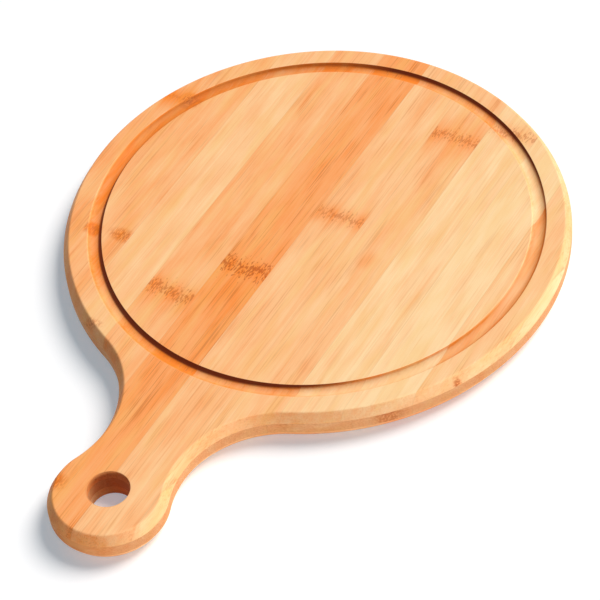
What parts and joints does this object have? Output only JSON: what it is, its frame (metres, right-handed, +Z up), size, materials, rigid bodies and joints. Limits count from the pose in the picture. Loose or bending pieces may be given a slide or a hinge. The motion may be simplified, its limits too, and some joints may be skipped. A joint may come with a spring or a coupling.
{
  "type": "serving board",
  "caption": "Round laminated bamboo serving board with a paddle handle, bevelled rim, juice groove and hanging hole, for cutting and serving food at the table.",
  "frame": {"origin": "the disc's centre, on the face that the board lies on", "axes": "+Y along the handle's axis and away from the handle, so the handle points along -Y; +Z up, out of the serving face; +X to the right for someone who holds the handle"},
  "size_m": [0.25, 0.34, 0.016],
  "materials": {
    "bamboo_pale": "planed and oiled, satin",
    "bamboo_straw": "planed and oiled, satin",
    "bamboo_honey": "planed and oiled, satin",
    "bamboo_amber": "planed and oiled, satin",
    "bamboo_core": "sawn and sanded end grain, matt"
  },
  "bodies": {
    "root": {"top_strip_left_5": "bamboo_honey", "top_strip_left_4": "bamboo_honey", "top_strip_left_3": "bamboo_pale", "top_strip_left_2": "bamboo_honey", "top_strip_left_1": "bamboo_amber", "top_strip_right_1": "bamboo_straw", "top_strip_right_2": "bamboo_honey", "top_strip_right_2_handle_end": "bamboo_honey", "top_strip_right_3": "bamboo_pale", "top_strip_right_4": "bamboo_pale", "top_strip_right_5": "bamboo_straw", "top_strip_right_6": "bamboo_honey", "core_strip_near_11": "bamboo_core", "core_strip_near_10": "bamboo_core", "core_strip_near_9": "bamboo_core", "core_strip_near_8": "bamboo_core", "core_strip_near_7": "bamboo_core", "core_strip_near_6": "bamboo_core", "core_strip_near_5": "bamboo_core", "core_strip_near_4": "bamboo_core", "core_strip_near_3": "bamboo_core", "core_strip_near_2": "bamboo_core", "core_strip_near_1": "bamboo_core", "core_strip_far_1": "bamboo_core", "core_strip_far_2": "bamboo_core", "core_strip_far_3": "bamboo_core", "core_strip_far_4": "bamboo_core", "core_strip_far_5": "bamboo_core", "core_strip_far_6": "bamboo_core", "core_strip_far_7": "bamboo_core", "bottom_strip_left_6": "bamboo_straw", "bottom_strip_left_5": "bamboo_honey", "bottom_strip_left_4": "bamboo_straw", "bottom_strip_left_3": "bamboo_pale", "bottom_strip_left_2": "bamboo_honey", "bottom_strip_left_1": "bamboo_straw", "bottom_strip_right_1": "bamboo_honey", "bottom_strip_right_2": "bamboo_straw", "bottom_strip_right_3": "bamboo_pale", "bottom_strip_right_4": "bamboo_honey", "bottom_strip_right_5": "bamboo_straw"}
  },
  "joints": []
}
